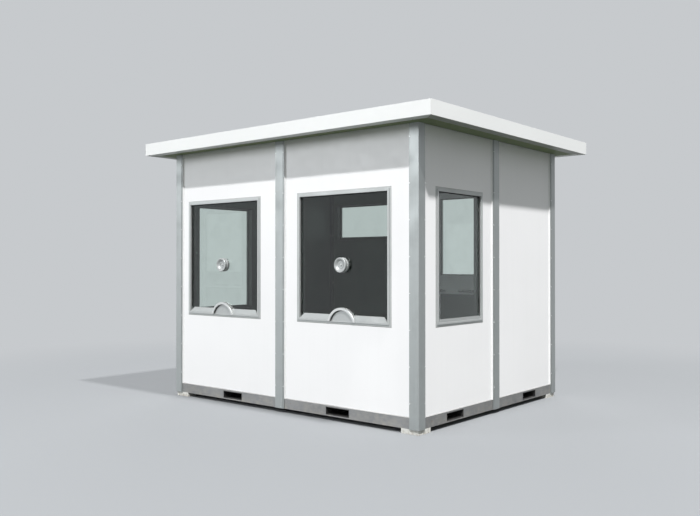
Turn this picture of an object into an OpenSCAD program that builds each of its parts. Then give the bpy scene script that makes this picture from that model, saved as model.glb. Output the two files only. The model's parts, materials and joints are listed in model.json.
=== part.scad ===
// Prefabricated security guard booth: sandwich panels held between aluminium posts,
// on a steel base with fork pockets on all four sides, under a flat overhanging roof.
// The front wall is at low Y. Heights of wall parts are measured from the base's underside.

/* [Walls] */
// Width of the booth over its corner posts
booth_w = 3048; // [2800:1:3600]
// Depth of the booth over its corner posts
booth_d = 2438; // [2300:1:3000]
// Height from the base's underside to the roof's underside
wall_h = 2438; // [2300:1:2800]
// Thickness of a sandwich wall panel
panel_t = 76; // [60:1:100]

/* [Posts] */
// Distance that a post's face stands out from the panels
post_proud = 20; // [16:1:30]
// Wall of a post's extrusion
post_wall = 4; // [3:0.5:5]
// Width of the screw strip along a post's edge
strip_w = 12; // [8:1:16]
// Depth of the screw strip below the post's face
strip_drop = 4; // [2:0.5:6]
// Width of a mid post's face
mid_w = 112; // [96:1:140]
// Width of a mid post's core between two panels
mid_core_w = 60; // [40:1:70]
// Place of the front and back mid posts, to the right of the wall's middle
mid_x = -21; // [-60:1:40]
// Place of the side mid posts, behind the wall's middle
mid_y = 14; // [-40:1:60]
// Width of a corner post's lip over the panel beside it
lip_w = 10; // [6:1:16]
// Thickness of a corner post's lip
lip_t = 2.5; // [1.5:0.5:4]
// Thickness of the cover strip inside a mid post
cover_t = 3; // [2:0.5:5]

/* [Base] */
// Height of the base rail
rail_h = 90; // [88:1:110]
// Thickness of the base rail's steel
rail_t = 5; // [4:0.5:6]
// Depth of the base rail's face behind the post faces
rail_inset = 12; // [8:1:14]
// Width of a fork pocket
fork_w = 254; // [200:1:280]
// Height of a fork pocket
fork_h = 60; // [50:1:66]
// Height of a fork pocket's floor above the base's underside
fork_lift = 14; // [12:1:16]
// Wall of the sleeve that lines a fork pocket
sleeve_t = 4; // [3:0.5:5]
// Distance between the middles of two fork pockets
fork_spacing = 1334; // [1000:1:1400]
// Thickness of the floor joists and of the plates that line the fork runs
joist_t = 4; // [3:0.5:6]
// Width of a floor joist's flanges
joist_flange_w = 36; // [25:1:50]
// Number of joist bays in a floor cell at either end
end_bays = 2; // [1:1:3]
// Number of joist bays in a middle floor cell
middle_bays = 3; // [2:1:5]
// Thickness of the floor deck
deck_t = 20; // [15:1:30]
// Width of a levelling pad
pad_w = 170; // [120:1:200]
// Height of a levelling pad
pad_h = 40; // [25:1:60]

/* [Windows] */
// Height of the windows' lower edge above the base's underside
window_sill = 800; // [700:1:900]
// Height of the front and side windows over their frames
window_h = 1145; // [900:1:1200]
// Width of a front window over its frame
front_window_w = 1050; // [800:1:1080]
// Place of the front wall's right window, to the right of its panel's middle
front_right_window_shift = -6; // [-60:1:60]
// Place of the front wall's left window, to the right of its panel's middle
front_left_window_shift = -76; // [-80:1:60]
// Width of the right side window over its frame
right_window_w = 746; // [600:1:820]
// Place of the right side window, behind its panel's middle
right_window_shift = -5; // [-60:1:60]
// Width of the left side window over its frame
left_window_w = 795; // [600:1:820]
// Place of the left side window, behind its panel's middle
left_window_shift = -47; // [-60:1:60]
// Width of the high back window over its frame
back_window_w = 1170; // [700:1:1200]
// Height of the high back window over its frame
back_window_h = 470; // [360:1:500]
// Height of the high back window's lower edge above the base's underside
back_window_sill = 1586; // [1500:1:1700]
// Place of the high back window, to the right of its panel's middle
back_window_shift = -32; // [-40:1:20]
// Width of a window frame's face
frame_w = 34; // [28:1:44]
// Width of the thin flange around a window frame's raised bead
flange_w = 15; // [8:1:18]
// Thickness of a window frame's flanges
flange_t = 3; // [2:0.5:4]
// Distance that a window frame's raised bead stands out from the panel
bead_t = 10; // [6:1:12]
// Thickness of the frame's lining through the wall
liner_t = 4; // [3:0.5:6]
// Depth that the glass reaches into the frame
glass_bite = 8; // [5:1:10]
// Thickness of the glass
glass_t = 6; // [5:0.5:8]
// Depth of the glass behind the panel's outer face
glass_set = 14; // [10:1:20]
// Width of the stop behind the glass
stop_w = 6; // [4:1:12]
// Width of the gasket along the glass's edge
gasket_w = 7; // [5:1:16]
// Thickness of the gasket in front of the glass
gasket_t = 5; // [3:1:8]
// Height of the sloped sill in a front window
front_sill_h = 45; // [30:1:60]
// Height of the sloped sill in the other windows
small_sill_h = 24; // [12:1:36]

/* [Pass-through] */
// Outer radius of the half-round trim
arch_r = 158; // [120:1:180]
// Width of the trim's ring
arch_ring_w = 22; // [14:1:28]
// Depth of the trim's middle below the window frame's lower edge
arch_drop = 17; // [0:1:30]
// Height of the trim's feet above the window frame's lower edge
arch_foot = 20; // [6:1:21]
// Distance that the trim stands out from the window frame's bead
arch_proud = 7; // [4:1:9]
// Depth of the closing plate behind the trim's face
cover_set = 19; // [12:1:22]
// Thickness of the closing plate
cover_plate_t = 4; // [2:0.5:6]

/* [Voice port] */
// Height of the voice ports' middles above the base's underside
port_z = 1305; // [1200:1:1400]
// Radius of a voice port
port_r = 65; // [55:1:80]
// Length of a voice port in front of the glass
port_len = 45; // [30:1:50]
// Length of a voice port's flange behind the glass
port_back = 10; // [6:1:20]

/* [Door] */
// Width of the panel that shows between the mid post and the door frame
door_margin = 21; // [4:1:80]
// Width of the door leaf
door_w = 900; // [800:1:920]
// Height of the door leaf
door_h = 2000; // [1950:1:2080]
// Thickness of the door leaf
leaf_t = 44; // [38:1:50]
// Width of a door jamb's face
jamb_w = 45; // [38:1:50]
// Running gap around the door leaf
door_gap = 3; // [2:0.5:5]
// Width of the leaf's stiles
stile_w = 60; // [54:1:110]
// Height of the leaf's top rail
top_rail_h = 75; // [50:1:160]
// Height of the leaf's middle rail
mid_rail_h = 210; // [140:1:240]
// Height of the leaf's bottom rail
bottom_rail_h = 160; // [100:1:260]
// Height of the door glass's lower edge above the base's underside
lite_sill = 1187; // [1120:1:1220]
// Depth of the lower infill behind the leaf's faces
infill_set = 7; // [3:1:12]
// Height of the door handle above the base's underside
handle_z = 1016; // [950:1:1060]
// Length of the pull bar on the door's inner face
pull_len = 245; // [180:1:320]

/* [Roof] */
// Overhang of the roof in front of and behind the posts
over_front = 200; // [160:1:260]
// Overhang of the roof at the sides
over_side = 250; // [180:1:300]
// Height of the roof's edge trim
fascia_h = 120; // [90:1:160]
// Thickness of the edge trim's sheet
sheet_t = 3; // [2:0.5:4]
// Width of the edge trim's return under the roof
return_w = 100; // [70:1:120]
// Width of the edge trim's return on top of the roof
top_return_w = 60; // [40:1:90]
// Reach of the tongue from one roof panel into the next
tongue = 14; // [8:1:20]

/* [Hidden] */

$fn = 48;
// Clearance of a piece in its seat
fit = 0.3;
// Size of the small bevel on a post's outer corners
bevel = 2;
// Width of the open joint between two mitred lengths
mitre_gap = 0.5;
// Play of a cut beyond the face it cuts
over = 1;
// Facets of the large circles in the front windows
round_fn = 96;

inside_depth = post_proud + panel_t;
corner_w = inside_depth;
fork_z = [fork_lift, fork_lift + fork_h];
half_w = booth_w / 2;
half_d = booth_d / 2;
floor_z = rail_h + deck_t;
post_colour = [0.70, 0.72, 0.73];
panel_colour = [0.93, 0.94, 0.94];
frame_colour = [0.75, 0.77, 0.77];
base_colour = [0.45, 0.46, 0.47];
glass_colour = [0.35, 0.42, 0.40, 0.5];
metal_colour = [0.78, 0.79, 0.78];

function centred(middle, width) = [middle - width / 2, middle + width / 2];
function middle_of(u) = (u[0] + u[1]) / 2;
function fork_range(side) = centred(side * fork_spacing / 2, fork_w);
function set_in(u, distance) = [u[0] + distance, u[1] - distance];

// Panel ranges on either side of a wall's mid post
function bay_low(length, middle) = [-length / 2 + corner_w, middle - mid_core_w / 2];
function bay_high(length, middle) = [middle + mid_core_w / 2, length / 2 - corner_w];

glass_y = post_proud + glass_set;
bead_y = post_proud - bead_t;
// Distance from a window frame's outer edge to the edge of the panel behind it
panel_bite = frame_w - glass_bite - liner_t;
front_left_window = centred(middle_of(bay_low(booth_w, mid_x)) + front_left_window_shift, front_window_w);
front_right_window = centred(middle_of(bay_high(booth_w, mid_x)) + front_right_window_shift,
    front_window_w);
front_windows = [front_left_window, front_right_window];
left_window = centred(middle_of(bay_low(booth_d, mid_y)) + left_window_shift, left_window_w);
right_window = centred(middle_of(bay_low(booth_d, mid_y)) + right_window_shift, right_window_w);
back_window = centred(middle_of(bay_low(booth_w, mid_x)) + back_window_shift, back_window_w);
window_z = [window_sill, window_sill + window_h];
back_window_z = [back_window_sill, back_window_sill + back_window_h];
arch_z = window_sill - arch_drop;
arch_y = bead_y - arch_proud;
// Width of a voice port's rim
port_rim_w = 15;
// Width of the rim's flat crest
port_crest_w = 6;
port_neck_r = port_r - port_rim_w;

threshold_h = 26;
jamb_proud = 6;
leaf_y = post_proud - jamb_proud;
door_range = centred(mid_x + mid_w / 2 + door_margin + jamb_w + door_gap + door_w / 2, door_w);
opening_range = set_in(door_range, -door_gap);
leaf_z = [rail_h + threshold_h + 2 * door_gap, rail_h + threshold_h + 2 * door_gap + door_h];
opening_top = leaf_z[1] + door_gap;
door_body_x = set_in(opening_range, -jamb_w + 2 * flange_t);
door_body_top = opening_top + jamb_w - 2 * flange_t;
lite_x = set_in(door_range, stile_w);
lite_z = [lite_sill, leaf_z[1] - top_rail_h];
infill_z = [leaf_z[0] + bottom_rail_h, lite_sill - mid_rail_h];
door_glass_y = leaf_y + leaf_t / 2 - glass_t / 2;

roof_w = booth_w + 2 * over_side;
roof_d = booth_d + 2 * over_front;
roof_core_h = fascia_h - 2 * sheet_t;

// A box given by its ranges along the wall, into the wall and upwards
module slab(u, y, z) {
    translate([u[0], y[0], z[0]]) cube([u[1] - u[0], y[1] - y[0], z[1] - z[0]]);
}

// A rectangular ring between two outlines, set in from the given one by two distances
module ring(u, z, y, outer, inner) {
    difference() {
        slab(set_in(u, outer), y, set_in(z, outer));
        slab(set_in(u, inner), set_in(y, -over), set_in(z, inner));
    }
}

// A bar along X of a profile given as [depth, distance from the outer edge], mitred at either end
module profile_bar(profile, length, mitres = [1, 1]) {
    depths = [for (point = profile) point[0]];
    reach = max([for (point = profile) point[1]]) + over;
    gap = mitre_gap / 2;
    intersection() {
        rotate([90, 0, 90]) linear_extrude(length) polygon(profile);
        translate([0, max(depths) + over, 0])
            rotate([90, 0, 0]) linear_extrude(max(depths) - min(depths) + 2 * over)
                polygon([[mitres[0] * gap, 0], [length - mitres[1] * gap, 0],
                    [length - mitres[1] * (gap + reach), reach], [mitres[0] * (gap + reach), reach]]);
    }
}

// Four mitred bars of one profile around a rectangle
module profile_frame(profile, u, z) {
    width = u[1] - u[0];
    height = z[1] - z[0];
    translate([u[0], 0, z[0]]) profile_bar(profile, width);
    translate([u[1], 0, z[1]]) rotate([0, 180, 0]) profile_bar(profile, width);
    translate([u[0], 0, z[1]]) rotate([0, 90, 0]) profile_bar(profile, height);
    translate([u[1], 0, z[0]]) rotate([0, -90, 0]) profile_bar(profile, height);
}

// Wall frames: X runs along the wall, Y goes into it from the post faces, Z is up from the base
module on_front() { translate([0, -half_d, pad_h]) children(); }
module on_back() { mirror([0, 1, 0]) on_front() children(); }
module on_right() { translate([half_w, 0, pad_h]) rotate([0, 0, 90]) children(); }
module on_left() { mirror([1, 0, 0]) on_right() children(); }

// Steel channel along one side, open inwards, with two fork pockets cut through its web
module base_rail(length) {
    color(base_colour)
        difference() {
            slab([-length / 2 + corner_w, length / 2 - corner_w],
                [rail_inset, inside_depth], [0, rail_h]);
            slab([-length / 2, length / 2], [rail_inset + rail_t, inside_depth + over],
                [rail_t, rail_h - rail_t]);
            for (side = [-1, 1])
                slab(set_in(fork_range(side), -sleeve_t - fit), [0, inside_depth],
                    set_in(fork_z, -sleeve_t - fit));
        }
}

// Welded sleeves that lead the forks through one side's channel
module side_sleeves() {
    color([0.62, 0.63, 0.64])
        for (side = [-1, 1])
            ring(fork_range(side), fork_z, [rail_inset, inside_depth - fit], -sleeve_t, 0);
}

// Start and end of the three cells between the fork runs, across a given inner width
function cell_ranges(inner) = [
    [-inner / 2, fork_range(-1)[0]],
    [fork_range(-1)[1], fork_range(1)[0]],
    [fork_range(1)[1], inner / 2]];
cells_x = cell_ranges(booth_w - 2 * inside_depth);
cells_y = cell_ranges(booth_d - 2 * inside_depth);

// Plates on edge along the sides of each floor cell, beside the fork runs and the rails
module floor_trimmers() {
    color(base_colour)
        for (x = cells_x, y = cells_y)
            translate([0, 0, pad_h]) {
                slab(x, [y[0], y[0] + joist_t], [0, rail_h]);
                slab(x, [y[1] - joist_t, y[1]], [0, rail_h]);
            }
}

// Channel joists between the trimmers, the outer ones with their webs towards the fork runs
module floor_joists() {
    section = [[0, 0], [joist_flange_w, 0], [joist_flange_w, joist_t], [joist_t, joist_t],
        [joist_t, rail_h - joist_t], [joist_flange_w, rail_h - joist_t],
        [joist_flange_w, rail_h], [0, rail_h]];
    color(base_colour)
        for (i = [0 : 2], y = cells_y)
            let (x = cells_x[i], bays = i == 1 ? middle_bays : end_bays, pitch = (x[1] - x[0]) / bays)
                for (line = [0 : bays])
                    translate([x[0] + line * pitch, y[1] - joist_t, pad_h])
                        mirror([line == bays ? 1 : 0, 0, 0])
                            rotate([90, 0, 0]) linear_extrude(y[1] - y[0] - 2 * joist_t)
                                polygon(section);
}

module floor_deck() {
    color([0.55, 0.56, 0.57])
        translate([0, 0, pad_h])
            slab(centred(0, booth_w - 2 * inside_depth), centred(0, booth_d - 2 * inside_depth),
                [rail_h, floor_z]);
}

module levelling_pads() {
    color([0.85, 0.85, 0.82])
        for (x = [-1, 1], y = [-1, 1])
            translate([x * (half_w - rail_inset - pad_w / 2), y * (half_d - rail_inset - pad_w / 2), 0])
                translate([-pad_w / 2, -pad_w / 2, 0]) cube([pad_w, pad_w, pad_h]);
}

// Hollow corner extrusion: two raised faces with screw strips, and lips over the panels
module corner_post() {
    face = corner_w - strip_w;
    lip_y = post_proud - lip_t;
    lip_end = corner_w + lip_w;
    hollow = strip_drop + post_wall;
    color(post_colour)
        translate([-half_w, -half_d, pad_h])
            linear_extrude(wall_h)
                difference() {
                    polygon([[bevel, 0], [face, 0], [face, strip_drop], [corner_w, strip_drop],
                        [corner_w, lip_y], [lip_end, lip_y], [lip_end, post_proud],
                        [corner_w, post_proud], [corner_w, corner_w], [post_proud, corner_w],
                        [post_proud, lip_end], [lip_y, lip_end], [lip_y, corner_w],
                        [strip_drop, corner_w], [strip_drop, face], [0, face], [0, bevel]]);
                    translate([hollow, hollow]) square(corner_w - post_wall - hollow);
                }
}

// Angles that cover the joints inside the room's corners
module inner_corner_trims() {
    leg = 38;
    color(post_colour)
        for (x = [0, 1], y = [0, 1])
            mirror([x, 0, 0]) mirror([0, y, 0])
                translate([-half_w + inside_depth, -half_d + inside_depth, pad_h + floor_z])
                    linear_extrude(wall_h - floor_z)
                        polygon([[0, 0], [leg, 0], [leg, cover_t], [cover_t, cover_t],
                            [cover_t, leg], [0, leg]]);
}

// Hollow mid extrusion: raised face with screw strips, core between panels, inner cover strip
module mid_post(middle) {
    face = mid_w / 2 - strip_w;
    edge = mid_w / 2;
    core = mid_core_w / 2;
    color(post_colour)
        translate([middle, 0, 0]) {
            translate([0, 0, rail_h])
                linear_extrude(wall_h - rail_h)
                    difference() {
                        polygon([[-face, 0], [face, 0], [face, strip_drop], [edge, strip_drop],
                            [edge, post_proud], [core, post_proud], [core, inside_depth],
                            [-core, inside_depth], [-core, post_proud], [-edge, post_proud],
                            [-edge, strip_drop], [-face, strip_drop]]);
                        translate([-face + post_wall, post_wall])
                            square([2 * (face - post_wall), post_proud - 2 * post_wall]);
                        translate([-core + post_wall, post_proud + post_wall])
                            square([2 * (core - post_wall), panel_t - 2 * post_wall]);
                    }
            linear_extrude(rail_h)
                polygon([[-face, 0], [face, 0], [face, strip_drop], [edge, strip_drop],
                    [edge, rail_inset], [-edge, rail_inset], [-edge, strip_drop],
                    [-face, strip_drop]]);
            slab([-edge, edge], [inside_depth, inside_depth + cover_t], [floor_z, wall_h]);
        }
}

// Sandwich panel between two posts, with cut-outs given as [range along, range up]
module wall_panel(u, cuts = []) {
    color(panel_colour)
        difference() {
            slab(u, [post_proud, inside_depth], [rail_h, wall_h]);
            for (cut = cuts)
                slab(cut[0], [0, inside_depth + over], cut[1]);
        }
}

function window_cut(u, z) = [set_in(u, panel_bite), set_in(z, panel_bite)];

// Extruded aluminium section: flange, raised bead, glass rebate, stop, lining and inner flange
window_profile = let (
    nose = 2,
    rebate = frame_w - glass_bite,
    glass_back = glass_y + glass_t,
    inner_flange = inside_depth + flange_t)
    [[post_proud, 0], [post_proud - flange_t / 2, 0], [post_proud - flange_t, flange_t / 2],
        [post_proud - flange_t, flange_w], [bead_y + nose, flange_w], [bead_y, flange_w + nose],
        [bead_y, frame_w - nose], [bead_y + nose, frame_w], [glass_y, frame_w], [glass_y, rebate],
        [glass_back, rebate], [glass_back, frame_w + stop_w], [glass_back + stop_w / 2, frame_w + stop_w],
        [glass_back + stop_w, frame_w], [glass_back + stop_w, rebate], [inner_flange, rebate],
        [inner_flange, flange_w / 2], [inside_depth, flange_w / 2], [inside_depth, panel_bite],
        [post_proud, panel_bite]];

module window_frame(u, z) {
    color(frame_colour) profile_frame(window_profile, u, z);
}

// Front window frame, its lower bar cut away for the pass-through
module front_window_frame(u) {
    difference() {
        window_frame(u, window_z);
        for (cut = [[post_proud - flange_t, arch_foot], [glass_y, panel_bite]])
            intersection() {
                translate([middle_of(u), 0, arch_z]) rotate([-90, 0, 0])
                    cylinder(r = arch_r + fit, h = cut[0], $fn = round_fn);
                slab(u, [-over, glass_y + over], [window_sill + cut[1], window_sill + arch_r]);
            }
    }
}

module pane(u, z) {
    edge = frame_w - glass_bite + fit;
    color(glass_colour) slab(set_in(u, edge), [glass_y, glass_y + glass_t], set_in(z, edge));
}

// Pane with a half-round cut for the pass-through and a round one for the voice port
module front_pane(u) {
    color(glass_colour)
        difference() {
            pane(u, window_z);
            for (hole = [[arch_z, arch_r - arch_ring_w], [port_z, port_neck_r + fit]])
                translate([middle_of(u), glass_y - over, hole[0]]) rotate([-90, 0, 0])
                    cylinder(r = hole[1], h = glass_t + 2 * over, $fn = round_fn);
        }
}

// Dark gasket around the glass above the sloped sill
module glazing_gasket(u, z, sill_h) {
    color([0.12, 0.12, 0.12])
        difference() {
            ring(u, z, [glass_y - gasket_t, glass_y], frame_w, frame_w + gasket_w);
            slab(u, [0, inside_depth], [z[0], z[0] + frame_w + sill_h]);
        }
}

// Wedge in front of the glass on the frame's lower bar, its ends square or cut at 45 degrees
module sloped_sill(u, z, sill_h, clipped) {
    lip = 2;
    x = set_in(u, frame_w);
    bottom = z[0] + frame_w;
    clip = clipped ? sill_h : 0;
    color(frame_colour)
        intersection() {
            translate([x[0], 0, 0]) rotate([90, 0, 90]) linear_extrude(x[1] - x[0])
                polygon([[bead_y + lip, bottom], [glass_y, bottom], [glass_y, bottom + sill_h],
                    [glass_y - lip, bottom + sill_h], [bead_y + lip, bottom + lip]]);
            translate([0, glass_y + over, 0]) rotate([90, 0, 0]) linear_extrude(glass_y + 2 * over)
                polygon([[x[0], bottom], [x[1], bottom], [x[1] - clip, bottom + sill_h],
                    [x[0] + clip, bottom + sill_h]]);
        }
}

module front_sill(u) {
    difference() {
        sloped_sill(u, window_z, front_sill_h, true);
        translate([middle_of(u), 0, arch_z]) rotate([-90, 0, 0])
            cylinder(r = arch_r + fit, h = glass_y + over, $fn = round_fn);
    }
}

// Half-round trim: a deep ring whose feet stand on the frame's lower bar
module pass_through_trim(u) {
    color(metal_colour)
        for (part = [[post_proud - flange_t, arch_foot], [glass_y, panel_bite]])
            intersection() {
                translate([middle_of(u), arch_y, arch_z]) rotate([-90, 0, 0])
                    difference() {
                        union() {
                            translate([0, 0, bevel]) cylinder(r = arch_r, h = part[0] - arch_y - bevel,
                                $fn = round_fn);
                            cylinder(r1 = arch_r - bevel, r2 = arch_r, h = bevel, $fn = round_fn);
                        }
                        translate([0, 0, -over])
                            cylinder(r = arch_r - arch_ring_w, h = glass_y + arch_r, $fn = round_fn);
                    }
                slab(u, [arch_y - over, glass_y + over],
                    [window_sill + part[1] + fit, window_sill + arch_r]);
            }
}

// Half-round plate that closes the pass-through behind the trim
module pass_through_cover(u) {
    back = arch_y + cover_set;
    color([0.80, 0.81, 0.80])
        intersection() {
            translate([middle_of(u), back, arch_z]) rotate([-90, 0, 0])
                cylinder(r = arch_r - arch_ring_w - fit, h = cover_plate_t, $fn = round_fn);
            slab(u, [back - over, back + cover_plate_t + over],
                [window_sill + panel_bite + fit, window_sill + arch_r]);
        }
}

// Round speaking port: rim, dish with a ridge and a hub, waisted barrel, flange, neck and back plate
module voice_port(u) {
    round_over = 3;
    rim_len = 13;
    barrel_r = port_r - 4;
    flange_len = 9;
    crest_r = port_r - port_crest_w - round_over;
    dish_r = port_r * 0.55;
    dish_z = 18;
    ridge = [port_r * 0.42, port_r * 0.35];
    hub_r = port_r * 0.16;
    hub_z = 10;
    step = 4;
    neck = [port_len - fit, port_len + glass_t + fit];
    flange_r = port_r - round_over;
    color(metal_colour)
        translate([middle_of(u), glass_y - port_len, port_z])
            rotate([-90, 0, 0])
                rotate_extrude($fn = round_fn)
                    polygon([[0, hub_z], [hub_r - 2, hub_z], [hub_r, hub_z + 2], [hub_r, dish_z],
                        [ridge[1], dish_z], [ridge[1], dish_z - step], [ridge[0], dish_z - step],
                        [ridge[0], dish_z], [dish_r, dish_z], [port_neck_r, step], [crest_r, step],
                        [crest_r, 0], [port_r - round_over, 0], [port_r, round_over],
                        [port_r, rim_len], [barrel_r, rim_len + round_over],
                        [barrel_r, neck[0] - flange_len - round_over], [port_r, neck[0] - flange_len],
                        [port_r, neck[0]],
                        [port_neck_r, neck[0]], [port_neck_r, neck[1]], [flange_r, neck[1]],
                        [flange_r, neck[1] + port_back], [0, neck[1] + port_back]]);
}

// Jambs and head of one section, with a stop that the closed leaf rests against
module door_frame() {
    stop = 14;
    leaf_back = leaf_y + leaf_t;
    inner = inside_depth + flange_t;
    profile = [[post_proud, 0], [leaf_y + 1, 0], [leaf_y, 1], [leaf_y, jamb_w], [leaf_back, jamb_w],
        [leaf_back, jamb_w + stop], [inner, jamb_w + stop], [inner, 0], [inside_depth, 0],
        [inside_depth, 2 * flange_t], [post_proud, 2 * flange_t]];
    x = set_in(opening_range, -jamb_w);
    top = opening_top + jamb_w;
    color(frame_colour)
        difference() {
            union() {
                translate([x[1], 0, top]) rotate([0, 180, 0]) profile_bar(profile, x[1] - x[0]);
                translate([x[0], 0, top]) rotate([0, 90, 0])
                    profile_bar(profile, top - rail_h, [1, 0]);
                translate([x[1], 0, rail_h]) rotate([0, -90, 0])
                    profile_bar(profile, top - rail_h, [0, 1]);
            }
            slab(opening_range, [0, inner + over], [0, rail_h + threshold_h]);
        }
}

// Stiles and rails around the glass above and the infill below
module door_leaf() {
    color([0.88, 0.89, 0.89])
        difference() {
            slab(door_range, [leaf_y, leaf_y + leaf_t], leaf_z);
            slab(lite_x, [0, inside_depth], lite_z);
            slab(lite_x, [0, inside_depth], infill_z);
        }
}

module door_infill() {
    color([0.86, 0.87, 0.87])
        slab(lite_x, [leaf_y + infill_set, leaf_y + leaf_t - infill_set], infill_z);
}

module door_glass() {
    color(glass_colour) slab(lite_x, [door_glass_y, door_glass_y + glass_t], lite_z);
}

// Sloped beads that hold the door glass from either side
module door_lite_frame() {
    bead_w = 12;
    slope = 5;
    front = leaf_y + over;
    back = leaf_y + leaf_t - over;
    glass_back = door_glass_y + glass_t;
    color(frame_colour) {
        profile_frame([[front, 0], [door_glass_y, 0], [door_glass_y, bead_w], [front + slope, bead_w]],
            lite_x, lite_z);
        profile_frame([[glass_back, 0], [back, 0], [back - slope, bead_w], [glass_back, bead_w]],
            lite_x, lite_z);
    }
}

// Three butt hinges on the side away from the mid post, leaves on the jamb and on the door
module door_hinges() {
    hinge_h = 110;
    plate_t = 2.5;
    plate_w = 30;
    knuckle_r = 7;
    axis = middle_of([door_range[1], opening_range[1]]);
    color(metal_colour)
        for (place = [0.1, 0.5, 0.9])
            translate([axis, leaf_y, leaf_z[0] + place * door_h - hinge_h / 2]) {
                slab([-plate_w, plate_w], [-plate_t, 0], [0, hinge_h]);
                translate([0, -knuckle_r, 0]) cylinder(r = knuckle_r, h = hinge_h);
            }
}

// Lever sets and lock cylinders on both faces of the stile beside the mid post
module door_lever() {
    plate_w = 34;
    plate_t = 6;
    plate_h = 180;
    reach = 52;
    lever_r = 9;
    lever_len = 125;
    cylinder_r = 9;
    cylinder_len = 11;
    color(metal_colour)
        for (side = [0, 1])
            translate([door_range[0] + stile_w / 2, leaf_y + side * leaf_t, handle_z])
                mirror([0, side, 0]) {
                    slab(centred(0, plate_w), [-plate_t, 0], centred(0, plate_h));
                    rotate([90, 0, 0]) cylinder(r = lever_r + 3, h = reach);
                    translate([0, -reach, 0]) rotate([0, 90, 0]) cylinder(r = lever_r, h = lever_len);
                    translate([0, -reach, 0]) sphere(r = lever_r);
                    translate([lever_len, -reach, 0]) sphere(r = lever_r);
                    translate([0, 0, -plate_h / 3]) rotate([90, 0, 0])
                        cylinder(r = cylinder_r, h = cylinder_len);
                }
}

// Horizontal pull bar across the middle of the leaf's inner face
module door_pull_bar() {
    bar_r = 11;
    stand_r = 9;
    stand = 48;
    color(metal_colour)
        translate([middle_of(door_range), leaf_y + leaf_t, handle_z]) {
            translate([-pull_len / 2, stand, 0]) rotate([0, 90, 0]) cylinder(r = bar_r, h = pull_len);
            for (side = [-1, 1])
                translate([side * (pull_len / 2 - 2 * bar_r), 0, 0]) rotate([-90, 0, 0])
                    cylinder(r = stand_r, h = stand);
        }
}

// Aluminium threshold with a sloped nose and a step down to the floor inside
module door_threshold() {
    nose = 16;
    lip = 8;
    top = rail_h + threshold_h;
    color(frame_colour)
        translate([opening_range[0], 0, 0])
            rotate([90, 0, 90]) linear_extrude(opening_range[1] - opening_range[0])
                polygon([[leaf_y, rail_h], [inside_depth, rail_h], [inside_depth, floor_z],
                    [inside_depth + lip, floor_z], [inside_depth - nose, top], [leaf_y + nose, top],
                    [leaf_y, rail_h + lip]]);
}

// Three insulated panels from front to back, joined by tongues and grooves
module roof_panel() {
    count = 3;
    play = 0.5;
    width = (roof_w - 2 * sheet_t) / count;
    depth = roof_d - 2 * sheet_t;
    low = roof_core_h / 3;
    high = 2 * roof_core_h / 3;
    color([0.90, 0.91, 0.91])
        for (i = [0 : count - 1])
            let (left = -roof_w / 2 + sheet_t + i * width + (i > 0 ? play : 0),
                right = -roof_w / 2 + sheet_t + (i + 1) * width - (i < count - 1 ? play : 0),
                groove = i > 0 ? tongue + play : 0,
                reach = i < count - 1 ? tongue : 0)
                translate([0, depth / 2, pad_h + wall_h])
                    rotate([90, 0, 0]) linear_extrude(depth)
                        polygon([[left, 0], [right, 0], [right, low + play], [right + reach, low + play],
                            [right + reach, high - play], [right, high - play], [right, roof_core_h],
                            [left, roof_core_h], [left, high], [left + groove, high],
                            [left + groove, low], [left, low]]);
}

module roof_membrane() {
    color([0.90, 0.90, 0.89])
        translate([0, 0, pad_h + wall_h + roof_core_h])
            slab(centred(0, roof_w - 2 * top_return_w), centred(0, roof_d - 2 * top_return_w),
                [0, sheet_t]);
}

// Folded edge trim in four mitred lengths: face, return below and return on top
module roof_fascia() {
    profile = [[0, 0], [fascia_h, 0], [fascia_h, return_w], [fascia_h - sheet_t, return_w],
        [fascia_h - sheet_t, sheet_t], [sheet_t, sheet_t], [sheet_t, top_return_w],
        [0, top_return_w]];
    color([0.95, 0.95, 0.95])
        translate([0, 0, pad_h + wall_h + roof_core_h + sheet_t])
            rotate([-90, 0, 0])
                profile_frame(profile, centred(0, roof_w), centred(0, roof_d));
}

// Sheet that closes the overhang between the edge trim's return and the walls
module soffit() {
    under = pad_h + wall_h - sheet_t;
    color([0.42, 0.43, 0.42])
        difference() {
            slab(centred(0, roof_w - 2 * return_w), centred(0, roof_d - 2 * return_w),
                [under, under + sheet_t]);
            slab(centred(0, booth_w), centred(0, booth_d), [under - over, under + sheet_t + over]);
        }
}

on_front() base_rail(booth_w);  // base_rail_front
on_back() base_rail(booth_w);  // base_rail_back
on_left() base_rail(booth_d);  // base_rail_left
on_right() base_rail(booth_d);  // base_rail_right
union() {  // fork_sleeves
    on_front() side_sleeves();
    on_back() side_sleeves();
    on_left() side_sleeves();
    on_right() side_sleeves();
}
floor_trimmers();
floor_joists();
floor_deck();
levelling_pads();
corner_post();  // corner_post_front_left
mirror([1, 0, 0]) corner_post();  // corner_post_front_right
mirror([0, 1, 0]) corner_post();  // corner_post_back_left
mirror([1, 0, 0]) mirror([0, 1, 0]) corner_post();  // corner_post_back_right
inner_corner_trims();
on_front() mid_post(mid_x);  // mid_post_front
on_back() mid_post(mid_x);  // mid_post_back
on_left() mid_post(mid_y);  // mid_post_left
on_right() mid_post(mid_y);  // mid_post_right
on_front() wall_panel(bay_low(booth_w, mid_x), [window_cut(front_left_window, window_z)]);  // wall_panel_front_left
on_front() wall_panel(bay_high(booth_w, mid_x), [window_cut(front_right_window, window_z)]);  // wall_panel_front_right
on_left() wall_panel(bay_low(booth_d, mid_y), [window_cut(left_window, window_z)]);  // wall_panel_left_front
on_left() wall_panel(bay_high(booth_d, mid_y));  // wall_panel_left_back
on_right() wall_panel(bay_low(booth_d, mid_y), [window_cut(right_window, window_z)]);  // wall_panel_right_front
on_right() wall_panel(bay_high(booth_d, mid_y));  // wall_panel_right_back
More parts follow.
